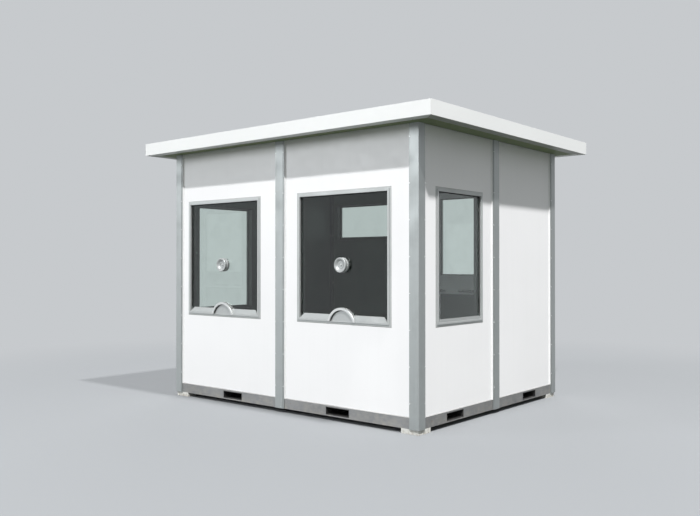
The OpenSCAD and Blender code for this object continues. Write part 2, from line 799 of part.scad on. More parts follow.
on_back() wall_panel(bay_low(booth_w, mid_x), [window_cut(back_window, back_window_z)]);  // wall_panel_back_left
on_back() wall_panel(bay_high(booth_w, mid_x), [[door_body_x, [0, door_body_top]]]);  // wall_panel_back_right
on_front() front_window_frame(front_left_window);  // window_frame_front_left
on_front() front_window_frame(front_right_window);  // window_frame_front_right
on_left() window_frame(left_window, window_z);  // window_frame_left
on_right() window_frame(right_window, window_z);  // window_frame_right
on_back() window_frame(back_window, back_window_z);  // window_frame_back
on_front() front_pane(front_left_window);  // window_glass_front_left
on_front() front_pane(front_right_window);  // window_glass_front_right
on_left() pane(left_window, window_z);  // window_glass_left
on_right() pane(right_window, window_z);  // window_glass_right
on_back() pane(back_window, back_window_z);  // window_glass_back
union() {  // glazing_gaskets
    on_front() for (u = front_windows) glazing_gasket(u, window_z, front_sill_h);
    on_left() glazing_gasket(left_window, window_z, small_sill_h);
    on_right() glazing_gasket(right_window, window_z, small_sill_h);
    on_back() glazing_gasket(back_window, back_window_z, small_sill_h);
}
union() {  // sloped_sills
    on_front() for (u = front_windows) front_sill(u);
    on_left() sloped_sill(left_window, window_z, small_sill_h, false);
    on_right() sloped_sill(right_window, window_z, small_sill_h, false);
    on_back() sloped_sill(back_window, back_window_z, small_sill_h, false);
}
on_front() for (u = front_windows) pass_through_trim(u);  // pass_through_trims
on_front() for (u = front_windows) pass_through_cover(u);  // pass_through_covers
on_front() for (u = front_windows) voice_port(u);  // voice_ports
on_back() door_frame();
on_back() door_leaf();
on_back() door_infill();
on_back() door_glass();
on_back() door_lite_frame();
on_back() door_hinges();
on_back() door_lever();
on_back() door_pull_bar();
on_back() door_threshold();
roof_panel();
roof_membrane();
roof_fascia();
soffit();
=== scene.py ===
"""Finishes, fixings, light and camera for the guard booth.

X runs along the front wall, the front wall faces -Y and Z is up. All lengths are metres.
"""
import json
import math

import bmesh
import bpy
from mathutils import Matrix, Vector


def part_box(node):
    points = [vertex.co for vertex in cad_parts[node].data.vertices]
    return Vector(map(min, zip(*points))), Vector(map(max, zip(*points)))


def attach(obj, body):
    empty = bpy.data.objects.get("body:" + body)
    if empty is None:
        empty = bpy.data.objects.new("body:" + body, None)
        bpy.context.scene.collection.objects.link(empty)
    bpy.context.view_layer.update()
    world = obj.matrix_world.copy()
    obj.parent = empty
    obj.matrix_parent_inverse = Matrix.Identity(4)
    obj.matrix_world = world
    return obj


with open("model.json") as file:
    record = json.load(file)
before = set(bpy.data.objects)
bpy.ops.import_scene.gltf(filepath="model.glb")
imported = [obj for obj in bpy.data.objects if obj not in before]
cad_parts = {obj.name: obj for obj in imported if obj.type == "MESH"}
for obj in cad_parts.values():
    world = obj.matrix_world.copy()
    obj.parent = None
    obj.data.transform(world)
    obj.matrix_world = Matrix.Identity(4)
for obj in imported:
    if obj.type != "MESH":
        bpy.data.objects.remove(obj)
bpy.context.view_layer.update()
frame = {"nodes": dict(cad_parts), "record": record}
scene = bpy.context.scene
scene.view_settings.view_transform = "Standard"

UP = Vector((0, 0, 1))

# Half the width and depth over the post faces, and the heights of the base's underside, the rails' top
# and the roof's underside
HALF_W, HALF_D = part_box("corner_post_back_right")[1][:2]
BASE_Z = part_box("base_rail_front")[0].z
RAIL_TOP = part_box("base_rail_front")[1].z
WALL_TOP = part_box("corner_post_front_left")[1].z

# On the mitres of the roof's edge trim, x exceeds y by this
EAVE_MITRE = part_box("roof_fascia")[1].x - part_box("roof_fascia")[1].y

# Depths below the post faces of the screw strips, the panels, the door leaf and the room's walls, and
# the depth past which a surface counts as indoors
STRIP_DEPTH = 0.004
PANEL_DEPTH = 0.020
LEAF_DEPTH = HALF_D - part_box("door_leaf")[1].y
ROOM_DEPTH = HALF_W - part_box("floor_deck")[1].x
INDOOR_DEPTH = 0.042

# How far the posts' sides and the middles of their screw strips lie from the wall's end, on a corner
# post, or from the post's middle, on a mid post
CORNER_SIDE = 0.096
CORNER_STRIP = 0.090
MID_SIDE = 0.056
MID_STRIP = 0.050

# Rows of screws on the posts, with their heights over the base's underside: evenly spaced ones, and one
# below the roof
EVEN_ROWS = 7
FIRST_ROW = 0.203
ROW_PITCH = 0.2925
TOP_ROW = 2.329
SCREW_HEIGHTS = [BASE_Z + FIRST_ROW + ROW_PITCH * i for i in range(EVEN_ROWS)] + [BASE_Z + TOP_ROW]

# Screws on the trims inside the room: how far they lie from the mid posts' middles and from the room's
# corners, and the thickness of both kinds of trim
MID_TRIM_SCREW = 0.040
CORNER_TRIM_SCREW = 0.024
INNER_TRIM_THICKNESS = 0.003

# Screws under the roof's edge trim: the distance from its outer edge, and the number in each length
EDGE_SCREW_INSET = 0.080
LONG_EDGE_SCREWS = 8
SHORT_EDGE_SCREWS = 6

# Radii of the pass-through trims, and the width, height, chamfer and number of straight steps of the dark
# seals inside them, which are partly painted shadow of the trims on the closing plates
ARCH_OUTER_R = 0.158
ARCH_INNER_R = 0.136
COVER_SHADOW_SEAL_WIDTH = 0.006
COVER_SHADOW_SEAL_HEIGHT = 0.005
COVER_SHADOW_SEAL_CHAMFER = 0.002
COVER_SHADOW_SEAL_STEPS = 48

# How deep the door's seals lie below the leaf's face
DOOR_SEAL_DEPTH = 0.012

# Hinges, with a column of three staggered screws on either side of the pin
HINGES = 3
HINGE_HEIGHT = 0.110
HINGE_PLATE_THICKNESS = 0.0025
HINGE_SCREW_OUT = 0.0205
HINGE_SCREW_STAGGER = 0.003
HINGE_SCREW_PITCH = 0.036

# Lever plate, with a screw above and below the lever. The backset is its distance from the leaf's edge
LEVER_BACKSET = 0.030
LEVER_PLATE_THICKNESS = 0.006
LEVER_SCREW_UP = 0.079

# Screws down into the threshold, and their distance in from the panels' outer faces
THRESHOLD_SCREWS = 5
THRESHOLD_SCREW_IN = 0.040

# Roofing: the widths of a sheet and of a welded lap, and half the width of the dark line at its edges
SHEET_WIDTH = 0.94
LAP_WIDTH = 0.09
WELD_LINE = 0.004

# Heights between which the dirt from the ground fades
PANEL_SPLASH = (0.12, 0.52)
RAIL_SPLASH = (0.03, 0.16)
BLOCK_SOIL = (0, 0.045)

# Colours
BACKGROUND = (0.57, 0.59, 0.61, 1)
SKY_TINT = (0.94, 0.97, 1)
FLOOR = (0.267, 0.276, 0.285, 1)
FLOOR_BOUNCE = (0.066, 0.074, 0.062, 1)
# Near-black metal inside the room: painted shade of the dim interior
INDOOR_SHADE_METAL = (0.07, 0.08, 0.075)
RAIN_STREAK = (0.60, 0.60, 0.57, 1)
SPLASHED_DUST = (0.55, 0.53, 0.48, 1)
# Grey for upward faces: partly lying dust, partly painted shade against the strong light from above
SETTLED_DUST_AND_SHADE = (0.35, 0.345, 0.33, 1)
ROAD_DIRT = (0.40, 0.38, 0.33, 1)
ROOF_DUST = (0.40, 0.385, 0.35, 1)
SOIL = (0.26, 0.22, 0.16, 1)
RUST = (0.20, 0.085, 0.035, 1)
RUBBER = (0.012, 0.012, 0.012, 1)
RUBBER_BLOOM = (0.035, 0.035, 0.033, 1)
LAP_TONE = (0.42, 0.42, 0.41, 1)
WELD_DIRT = (0.11, 0.105, 0.095, 1)
BLACK = (0, 0, 0, 1)

# Camera, fitted to the booth's edges in the photo. Its film and lens are in millimetres
FILM_WIDTH = 36
FOCAL_LENGTH = 40.365
CAMERA_PLACE = (5.0631, -6.3088, 1.358)
CAMERA_PITCH = math.radians(90.4028)
CAMERA_TURN = math.radians(39.8213)

# The point that the lamps face
LAMP_AIM = Vector((0, 0, 1.2))


def add_camera():
    """The camera at the photo's viewing angle."""
    data = bpy.data.cameras.new("camera")
    data.sensor_width = FILM_WIDTH
    data.lens = FOCAL_LENGTH
    camera = bpy.data.objects.new("camera", data)
    camera.location = CAMERA_PLACE
    camera.rotation_euler = (CAMERA_PITCH, 0, CAMERA_TURN)
    scene.collection.objects.link(camera)
    scene.camera = camera


# Node graphs

# A Mix node's sockets for colours go by number, because their names repeat
MIX_SHARE = 0
MIX_A = 6
MIX_B = 7
MIX_RESULT = 2


def shade(colour, factor):
    """The colour times a factor, opaque."""
    return tuple(part * factor for part in colour[:3]) + (1,)


def by_socket(values):
    """The values by the names of their sockets, which have spaces in place of underscores."""
    return {name.replace("_", " "): value for name, value in values.items()}


class Graph:
    """A node tree, with short ways to fill it. A value is a number, a colour or a node's output."""

    def __init__(self, tree):
        self.nodes = tree.nodes
        self.links = tree.links

    def put(self, socket, value):
        """Sets an input, or links it to the output that drives it."""
        if isinstance(value, bpy.types.NodeSocket):
            self.links.new(value, socket)
        else:
            socket.default_value = value

    def fill(self, node, values):
        """Puts values into a node's inputs, by their names or numbers."""
        for socket, value in values.items():
            self.put(node.inputs[socket], value)
        return node

    def add(self, kind, **values):
        """A new node with these inputs."""
        return self.fill(self.nodes.new(kind), by_socket(values))

    def math(self, operation, *values):
        """The result of a Math node's operation on the values."""
        node = self.nodes.new("ShaderNodeMath")
        node.operation = operation
        return self.fill(node, dict(enumerate(values))).outputs[0]

    def times(self, a, b):
        return self.math("MULTIPLY", a, b)

    def span(self, value, low, high, start=0, end=1):
        """Maps low to high onto start to end, and holds it there outside."""
        node = self.add("ShaderNodeMapRange", Value=value, From_Min=low, From_Max=high,
                        To_Min=start, To_Max=end)
        return node.outputs[0]

    def mix(self, share, a, b):
        """The colour a where share is 0, b where it is 1, and a blend between."""
        node = self.nodes.new("ShaderNodeMix")
        node.data_type = "RGBA"
        return self.fill(node, {MIX_SHARE: share, MIX_A: a, MIX_B: b}).outputs[MIX_RESULT]

    def mottled(self, value, colour, spread):
        """The colour, darker where value is 0 and lighter where it is 1 by the given share."""
        return self.mix(value, shade(colour, 1 - spread), shade(colour, 1 + spread))

    def mix_shaders(self, share, a, b):
        """The shader node a where share is 0, b where it is 1, and a blend between."""
        node = self.nodes.new("ShaderNodeMixShader")
        return self.fill(node, {0: share, 1: a.outputs[0], 2: b.outputs[0]}).outputs[0]

    def seen_or_mirrored(self):
        """1 for rays that show a surface to the camera, directly, in a mirror or through glass."""
        paths = self.add("ShaderNodeLightPath").outputs
        seen = self.math("MAXIMUM", paths["Is Camera Ray"], paths["Is Glossy Ray"])
        return self.math("MAXIMUM", seen, paths["Is Transmission Ray"])

    def split(self, vector):
        """The x, y and z of a vector."""
        return self.add("ShaderNodeSeparateXYZ", Vector=vector).outputs[:3]


class Finish(Graph):
    """A material around one Principled shader, with textures in object space."""

    def __init__(self, name, **values):
        self.material = bpy.data.materials.new(name)
        self.material.use_nodes = True
        super().__init__(self.material.node_tree)
        self.shader = self.nodes["Principled BSDF"]
        self.fill(self.shader, by_socket(values))
        self.place = self.add("ShaderNodeTexCoord").outputs["Object"]
        self.x, self.y, self.height = self.split(self.place)

    def noise(self, scale, detail=3, stretch=None):
        """Noise from 0 to 1 with the given number of cells to a metre, or a number for each axis."""
        place = self.place
        if stretch:
            place = self.add("ShaderNodeMapping", Vector=place, Scale=stretch).outputs[0]
        node = self.add("ShaderNodeTexNoise", Vector=place, Scale=scale, Detail=detail)
        return node.outputs["Fac"]

    def indoors(self):
        """1 where the surface lies further in than the indoor depth of all four walls."""
        near_x = self.math("LESS_THAN", self.math("ABSOLUTE", self.x), HALF_W - INDOOR_DEPTH)
        near_y = self.math("LESS_THAN", self.math("ABSOLUTE", self.y), HALF_D - INDOOR_DEPTH)
        return self.times(near_x, near_y)

    def on_side_walls(self):
        """1 where the surface lies less than the indoor depth from the side walls' faces, or past them."""
        return self.math("GREATER_THAN", self.math("ABSOLUTE", self.x), HALF_W - INDOOR_DEPTH)

    def on_side_eaves(self):
        """1 on the underside of the roof's overhang at the sides, up to the mitres."""
        past = self.math("SUBTRACT", self.math("ABSOLUTE", self.x), self.math("ABSOLUTE", self.y))
        return self.times(self.facing(-1), self.math("GREATER_THAN", past, EAVE_MITRE))

    def facing(self, way):
        """1 where the surface faces up (way 1) or down (way -1)."""
        upward = self.split(self.add("ShaderNodeNewGeometry").outputs["Normal"])[2]
        return self.math("GREATER_THAN" if way > 0 else "LESS_THAN", upward, 0.5 * way)

    def bump(self, value, depth, below=None):
        """Raises the surface by up to depth where value is 1, on top of an earlier bump."""
        node = self.add("ShaderNodeBump", Height=value, Distance=depth)
        if below:
            self.put(node.inputs["Normal"], below)
        return node.outputs[0]

    def finished(self, colour, roughness, relief):
        """The material, with its colour, roughness and bumps driven."""
        self.fill(self.shader, {"Base Color": colour, "Roughness": roughness, "Normal": relief})
        return self.material


# Light

def add_lamp(name, azimuth, elevation, distance, size, strength, colour=(1, 1, 1)):
    """A square lamp that lights a white surface facing it to the given strength. Its angles are in
    degrees, and azimuth 0 is in front of the booth and 90 on its right."""
    turn, tilt = math.radians(azimuth), math.radians(elevation)
    direction = Vector((math.sin(turn) * math.cos(tilt), -math.cos(turn) * math.cos(tilt), math.sin(tilt)))
    data = bpy.data.lights.new(name, "AREA")
    data.size = size
    data.color = colour
    data.energy = strength * (math.pi * distance) ** 2
    lamp = bpy.data.objects.new(name, data)
    lamp.location = LAMP_AIM + direction * distance
    lamp.rotation_euler = direction.to_track_quat("Z", "Y").to_euler()
    lamp.visible_camera = False
    lamp.visible_transmission = False
    scene.collection.objects.link(lamp)


def add_world(strength):
    """Even light from all sides, with the background's colour where it is seen or mirrored."""
    world = bpy.data.worlds.new("studio")
    world.use_nodes = True
    scene.world = world
    graph = Graph(world.node_tree)
    graph.nodes.clear()
    light = graph.add("ShaderNodeBackground", Color=SKY_TINT + (1,), Strength=strength)
    view = graph.add("ShaderNodeBackground", Color=BACKGROUND)
    graph.add("ShaderNodeOutputWorld", Surface=graph.mix_shaders(graph.seen_or_mirrored(), light, view))


def floor_material(fade, colour, bounce):
    """Shows one colour to the camera and lights the object as a floor of the bounce colour would. It
    fades into the background between two distances from the middle."""
    material = bpy.data.materials.new("studio_floor")
    material.use_nodes = True
    graph = Graph(material.node_tree)
    graph.nodes.clear()
    length = graph.add("ShaderNodeVectorMath")
    length.operation = "LENGTH"
    graph.put(length.inputs[0], graph.add("ShaderNodeNewGeometry").outputs["Position"])
    haze = graph.span(length.outputs["Value"], *fade)
    haze.node.interpolation_type = "SMOOTHSTEP"
    seen = graph.seen_or_mirrored()
    near = graph.add("ShaderNodeBsdfDiffuse", Color=graph.mix(seen, bounce, colour))
    far = graph.add("ShaderNodeEmission", Color=BACKGROUND)
    blend = graph.mix_shaders(graph.times(haze, seen), near, far)
    graph.add("ShaderNodeOutputMaterial", Surface=blend)
    return material


def add_floor(radius, material, sides=64):
    """A pale round floor."""
    mesh = bpy.data.meshes.new("studio_floor")
    rim = [(radius * math.cos(math.tau * i / sides), radius * math.sin(math.tau * i / sides), 0)
           for i in range(sides)]
    mesh.from_pydata(rim, [], [list(range(sides))])
    mesh.materials.append(material)
    floor = bpy.data.objects.new("studio_floor", mesh)
    scene.collection.objects.link(floor)


# Materials

def coated_sheet(name, colour, dust=0.03, roughness=0.44, gloss=0.5, indoor_shade_colour=None, eave_shade_colour=None):
    """Painted metal skin with orange peel, faint unevenness, rain streaks and dust splashed at its foot.
    Its upper faces turn grey, partly from lying dust and partly as painted shade. The faces inside the room
    and under the side eaves take darker colours, painted shade, if these are given."""
    coat = Finish(name, Specular_IOR_Level=gloss, Coat_Weight=0.12 * gloss, Coat_Roughness=0.25)
    clouds = coat.noise(1.1, 2)
    base = coat.mix(coat.span(clouds, 0.35, 0.65), shade(colour, 0.985), shade(colour, 1.01))
    if dust:
        streaks = coat.span(coat.noise(1, 4, (26, 26, 0.5)), 0.52, 0.78, 0, 0.04)
        base = coat.mix(streaks, base, RAIN_STREAK)
        patches = coat.span(coat.noise(9, 6), 0.35, 0.75)
        splash = coat.times(coat.span(coat.height, *PANEL_SPLASH, dust, 0), patches)
        base = coat.mix(splash, base, SPLASHED_DUST)
    # Painted shade: faces inside the room take a near-black colour for the dim interior
    if indoor_shade_colour:
        base = coat.mix(coat.indoors(), base, coat.mottled(clouds, indoor_shade_colour, 0.1))
    # Upward faces turn grey: partly lying dust, partly painted shade
    settled_and_shaded = coat.span(coat.noise(6, 6), 0.25, 0.75, 0.8, 1)
    base = coat.mix(coat.times(coat.facing(1), settled_and_shaded), base, SETTLED_DUST_AND_SHADE)
    # Painted shade: the undersides of the side eaves take a darker colour
    if eave_shade_colour:
        base = coat.mix(coat.on_side_eaves(), base, coat.mottled(clouds, eave_shade_colour, 0.1))
    waves = coat.bump(coat.noise(2.3, 1), 0.0010)
    return coat.finished(base,
                         coat.span(coat.noise(14, 4), 0.3, 0.7, roughness - 0.05, roughness + 0.08),
                         coat.bump(coat.noise(330, 1), 0.00004, waves))


def extruded(name, colour, grain, metallic=0.9, roughness=0.53, side_painted_shade=1):
    """Anodised aluminium with fine die lines along the grain and faint handling marks. Inside the room it
    turns near black, as painted shade. Its outer faces on the side walls take their colour times the given
    factor, as painted shade."""
    metal = Finish(name, Metallic=metallic)
    lines = metal.noise(1, 3, grain)
    marks = metal.noise(5, 5)
    base = metal.mix(metal.span(lines, 0.3, 0.7), shade(colour, 0.94), shade(colour, 1.05))
    base = metal.mix(metal.span(marks, 0.55, 0.8, 0, 0.35), base, shade(colour, 0.80))
    # Painted shade: darker on the side walls
    if side_painted_shade < 1:
        base = metal.mix(metal.on_side_walls(), base, shade(colour, side_painted_shade))
    # Painted shade: metal inside the room takes a near-black colour for the dim interior
    base = metal.mix(metal.indoors(), base, metal.mottled(marks, INDOOR_SHADE_METAL, 0.15))
    return metal.finished(base,
                          metal.span(marks, 0.3, 0.7, roughness - 0.06, roughness + 0.10),
                          metal.bump(lines, 0.00010))


def painted_steel(name, colour, dust=0.55, side_painted_shade=1):
    """Thick brushed paint over steel, with scuffs, dust on its lower part and rust at worn spots.
    On the side walls it is darkened by the given factor, as painted shade."""
    paint = Finish(name, Metallic=0.0)
    base = paint.mottled(paint.span(paint.noise(3, 4), 0.3, 0.7), colour, 0.12)
    scuffs = paint.span(paint.noise(1, 5, (9, 9, 120)), 0.60, 0.72, 0, 0.5)
    base = paint.mix(scuffs, base, shade(colour, 1.6))
    patches = paint.span(paint.noise(22, 6), 0.35, 0.7)
    splash = paint.times(paint.span(paint.height, *RAIL_SPLASH, dust, 0.2 * dust), patches)
    base = paint.mix(splash, base, ROAD_DIRT)
    spots = paint.span(paint.noise(38, 5), 0.66, 0.74)
    rust = paint.times(spots, paint.span(paint.noise(3.5, 2), 0.5, 0.65))
    base = paint.mix(rust, base, RUST)
    # Painted shade: darker on the side walls
    if side_painted_shade < 1:
        base = paint.mix(paint.times(paint.on_side_walls(), 1 - side_painted_shade), base, BLACK)
    return paint.finished(base,
                          paint.span(paint.noise(16, 4), 0.3, 0.7, 0.42, 0.62),
                          paint.bump(paint.noise(150, 3), 0.00025))


def tinted_glass(name, colour):
    """Flat tinted glass with a trace of dust and the faint waves of a rolled sheet."""
    pane = Finish(name, IOR=1.5, Transmission_Weight=1, Specular_IOR_Level=0.22)
    dust = pane.span(pane.noise(7, 5), 0.5, 0.8)
    return pane.finished(pane.mix(dust, colour, shade(colour, 0.95)),
                         pane.times(dust, 0.035),
                         pane.bump(pane.noise(1.6, 0), 0.00035))


def rubber(name):
    """Black rubber with a grey bloom."""
    seal = Finish(name)
    bloom = seal.noise(30, 5)
    return seal.finished(seal.mix(seal.span(bloom, 0.4, 0.8), RUBBER, RUBBER_BLOOM),
                         seal.span(bloom, 0.3, 0.7, 0.55, 0.8),
                         seal.bump(seal.noise(500, 2), 0.0001))


def satin_steel(name, colour, metallic=1.0, roughness=0.27):
    """Turned or brushed metal with fine marks and soft smears."""
    steel = Finish(name, Metallic=metallic)
    smears = steel.noise(18, 4)
    scratches = steel.noise(1, 3, (60, 900, 900))
    return steel.finished(steel.mix(steel.span(smears, 0.35, 0.75), colour, shade(colour, 0.86)),
                          steel.span(smears, 0.3, 0.7, roughness - 0.06, roughness + 0.12),
                          steel.bump(scratches, 0.00005))


def floor_covering(name, colour):
    """Vinyl sheet with a fine fleck, scuffs and a worn sheen."""
    vinyl = Finish(name)
    flecks = vinyl.span(vinyl.noise(420, 1), 0.56, 0.62)
    scuffs = vinyl.span(vinyl.noise(4, 5), 0.45, 0.8, 0, 0.5)
    base = vinyl.mix(flecks, colour, shade(colour, 1.8))
    return vinyl.finished(vinyl.mix(scuffs, base, shade(colour, 0.6)),
                          vinyl.span(vinyl.noise(6, 4), 0.3, 0.7, 0.35, 0.6),
                          vinyl.bump(vinyl.noise(180, 2), 0.0002))


def membrane(name, colour):
    """Roofing sheet in welded widths, with laid dust, ponding stains and a fine woven relief."""
    sheet = Finish(name, Specular_IOR_Level=0.25)
    stains = sheet.span(sheet.noise(1.4, 5), 0.48, 0.62, 0, 0.5)
    base = sheet.mix(stains, colour, shade(colour, 0.80))
    base = sheet.mix(sheet.span(sheet.noise(30, 6), 0.5, 0.8, 0, 0.4), base, ROOF_DUST)
    from_weld = sheet.math("PINGPONG", sheet.x, SHEET_WIDTH / 2)
    lap = sheet.math("LESS_THAN", from_weld, LAP_WIDTH / 2)
    base = sheet.mix(sheet.times(lap, 0.12), base, LAP_TONE)
    edge = sheet.math("COMPARE", from_weld, LAP_WIDTH / 2, WELD_LINE)
    base = sheet.mix(sheet.times(edge, 0.55), base, WELD_DIRT)
    weave = sheet.bump(sheet.noise(260, 2), 0.0003)
    hollows = sheet.bump(sheet.noise(3, 2), 0.003, weave)
    return sheet.finished(base,
                          sheet.span(sheet.noise(9, 4), 0.3, 0.7, 0.65, 0.85),
                          sheet.bump(lap, 0.0015, hollows))


def cast_block(name, colour):
    """Pale cast blocks with pores, chips and soil on their lower part."""
    block = Finish(name)
    base = block.mix(block.span(block.noise(12, 6), 0.3, 0.7), shade(colour, 0.82), shade(colour, 1.08))
    patches = block.span(block.noise(35, 6), 0.3, 0.65)
    soil = block.times(block.span(block.height, *BLOCK_SOIL, 0.8, 0.15), patches)
    return block.finished(block.mix(soil, base, SOIL),
                          block.span(block.noise(40, 4), 0.3, 0.7, 0.7, 0.92),
                          block.bump(block.noise(140, 5), 0.0015))


def sealant(name, colour, dirty):
    """Cured sealant, tooled smooth, with its dirty spots shaded by the given factor."""
    bead = Finish(name)
    return bead.finished(bead.mix(bead.span(bead.noise(45, 5), 0.4, 0.75), colour, shade(colour, dirty)),
                         bead.span(bead.noise(60, 3), 0.3, 0.7, 0.4, 0.6),
                         bead.bump(bead.noise(120, 3), 0.0006))


# Grains of the aluminium, in cells to a metre along x, y and z
ALONG_Z = (420, 420, 1.5)
NO_GRAIN = (160, 160, 160)

MATERIALS = {
    # The panels' near-black green colour inside the room is painted shade of the dim interior
    "panel_skin": coated_sheet("panel_skin", (0.862, 0.855, 0.862, 1), indoor_shade_colour=(0.040, 0.070, 0.052)),
    "door_skin": coated_sheet("door_skin", (0.85, 0.845, 0.85, 1), dust=0.15),
    # The fascia's darker colour under the side eaves is painted shade
    "fascia": coated_sheet("fascia", (0.775, 0.78, 0.775, 1), dust=0, gloss=0.3,
                           eave_shade_colour=(0.31, 0.32, 0.29)),
    # The soffit's dark olive colour is painted shade, with a painted green reflection of the ground
    "soffit": coated_sheet("soffit", (0.19, 0.23, 0.125, 1), dust=0, roughness=0.6, gloss=0.2),
    "post": extruded("post", (0.40, 0.42, 0.415, 1), ALONG_Z),
    "window_frame": extruded("window_frame", (0.47, 0.485, 0.48, 1), NO_GRAIN, metallic=0.45),
    # The sills on the side walls are darkened as painted shade
    "sill": extruded("sill", (0.40, 0.415, 0.41, 1), NO_GRAIN, metallic=0.45, side_painted_shade=0.62),
    # The side rails are darkened as painted shade
    "base_steel": painted_steel("base_steel", (0.215, 0.218, 0.225, 1), side_painted_shade=0.77),
    # Near black: painted shade inside the base and its fork pockets
    "base_frame": painted_steel("base_frame", (0.022, 0.022, 0.023, 1), dust=0.12),
    "floor_finish": floor_covering("floor_finish", (0.17, 0.175, 0.18, 1)),
    "pad": cast_block("pad", (0.80, 0.80, 0.77, 1)),
    "glass": tinted_glass("glass", (0.89, 0.95, 0.92, 1)),
    "gasket": rubber("gasket"),
    "polished_trim": satin_steel("polished_trim", (0.66, 0.67, 0.66, 1), 0.7, 0.38),
    "voice_port": satin_steel("voice_port", (0.49, 0.505, 0.50, 1), 0.5, 0.5),
    "cover_plate": satin_steel("cover_plate", (0.50, 0.515, 0.51, 1), 0.6, 0.34),
    "hardware": satin_steel("hardware", (0.46, 0.46, 0.455, 1)),
    "screw_zinc": satin_steel("screw_zinc", (0.86, 0.87, 0.87, 1), 0.4, 0.3),
    "roof_skin": membrane("roof_skin", (0.27, 0.275, 0.27, 1)),
    "sealant": sealant("sealant", (0.42, 0.42, 0.41, 1), 0.72),
    # Partly a painted highlight: pale beads make the posts' metal sides look sunlit
    "white_highlight_sealant": sealant("white_highlight_sealant", (0.82, 0.815, 0.815, 1), 0.92),
}

# Nodes that differ from their slot: the sills are duller than the frames, the voice ports duller than
# the pass-through trims, and the steel inside the base is near black, painted shade of the base's hollows
# and fork pockets
OWN_FINISH = {
    "sloped_sills": "sill",
    "voice_ports": "voice_port",
    "fork_sleeves": "base_frame",
    "floor_joists": "base_frame",
    "floor_trimmers": "base_frame",
}


def dress_nodes():
    """Gives every node of the CAD model its material, whole."""
    slots = {part["node"]: part["material_slot"] for part in frame["record"]["subparts"]}
    for name, node in frame["nodes"].items():
        node.data.materials.clear()
        node.data.materials.append(MATERIALS[OWN_FINISH.get(name, slots[name])])
        for polygon in node.data.polygons:
            polygon.material_index = 0


# Walls

class Wall:
    """A wall's own frame: distance across it, depth into it from the post faces, and height."""

    def __init__(self, along, inward, distance, length, mid_post):
        self.along = Vector(along)
        self.inward = Vector(inward)
        self.distance = distance
        self.length = length
        low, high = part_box(mid_post)
        self.middle = self.along.dot((low + high) / 2)

    def point(self, across, depth, height):
        """A place on the wall, in the booth's frame."""
        return self.along * across + self.inward * (depth - self.distance) + UP * height

    def span(self, node):
        """A node's ranges across the wall and upwards."""
        low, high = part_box(node)
        return (self.along.dot(low), self.along.dot(high)), (low.z, high.z)

    def post_sides(self):
        """Where the posts' sides meet the panels, from one end of the wall to the other."""
        corner = self.length / 2 - CORNER_SIDE
        return [-corner, self.middle - MID_SIDE, self.middle + MID_SIDE, corner]

    def screw_strips(self):
        """The middles of the posts' screw strips."""
        corner = self.length / 2 - CORNER_STRIP
        return [-corner, self.middle - MID_STRIP, self.middle + MID_STRIP, corner]


WALLS = {
    "front": Wall((1, 0, 0), (0, 1, 0), HALF_D, 2 * HALF_W, "mid_post_front"),
    "back": Wall((1, 0, 0), (0, -1, 0), HALF_D, 2 * HALF_W, "mid_post_back"),
    "left": Wall((0, 1, 0), (1, 0, 0), HALF_W, 2 * HALF_D, "mid_post_left"),
    "right": Wall((0, 1, 0), (-1, 0, 0), HALF_W, 2 * HALF_D, "mid_post_right"),
}
WINDOW_FRAMES = {
    "window_frame_front_left": "front",
    "window_frame_front_right": "front",
    "window_frame_left": "left",
    "window_frame_right": "right",
    "window_frame_back": "back",
}


# Building blocks of the added pieces

SHARP_ANGLE = math.radians(32)
GOLDEN_TURN = math.radians(137.5)
HEX_SECTOR = math.tau / 6

# Fasteners as rings of (height, radius, half the width across flats or 0), from the seat up
HEX_HEAD = [(0, 0.0050, 0), (0.0020, 0.0050, 0), (0.0026, 0.0045, 0), (0.0027, 0.0045, 0.0038),
            (0.0060, 0.0045, 0.0038), (0.0066, 0.0040, 0.0038)]
WASHER = [(0, 0.0060, 0), (0.0013, 0.0060, 0), (0.0018, 0.0055, 0)]
PAN_HEAD = [(0, 0.0042, 0), (0.0010, 0.0042, 0), (0.0020, 0.0034, 0), (0.0025, 0.0020, 0)]
FLAT_HEAD = [(0, 0.0045, 0), (0.0004, 0.0045, 0), (0.0007, 0.0041, 0)]


def fillet(width, height):
    """A hollow fillet against a raised edge."""
    return [(0, 0), (0, height), (width * 0.3, height * 0.55), (width * 0.6, height * 0.25), (width, 0)]


# Profiles of beads and seals as (distance out from their path, height above the depth they are laid at)
POST_BEAD = [(0, 0), (0, 0.0120), (0.0014, 0.0117), (0.0026, 0.0080), (0.0050, 0.0045),
             (0.0125, 0.0022), (0.0140, 0)]
FRAME_BEAD = fillet(0.0040, 0.0014)
DOOR_BEAD = fillet(0.0050, 0.0040)
BASE_BEAD = [(0, 0), (0, 0.0060), (0.0018, 0.0048), (0.0042, 0.0016), (0.0060, 0)]
BULB_SEAL = [(0.0003, 0), (0.0012, 0.0015), (0.0027, 0), (0.0027, -0.006), (0.0003, -0.006)]
BRUSH_SEAL = [(0, 0), (0.0055, 0.001), (0.0055, -0.007), (0, -0.006)]


def around(across, heights):
    """The outline of a rectangle, as a bead's path."""
    (left, right), (low, high) = across, heights
    return [((left, low), (-1, -1)), ((right, low), (1, -1)),
            ((right, high), (1, 1)), ((left, high), (-1, 1))]


def over(across, heights):
    """The same without the lower side, from the lower left to the lower right."""
    (left, right), (low, high) = across, heights
    return [((left, low), (-1, 0)), ((left, high), (-1, 1)),
            ((right, high), (1, 1)), ((right, low), (1, 0))]


def straight(ends, out):
    """A line between two points, as a bead's path with one way out."""
    return [(end, out) for end in ends]


def middles(low, high, count):
    """The middles of the equal shares of a range."""
    return [low + (high - low) * (i + 0.5) / count for i in range(count)]


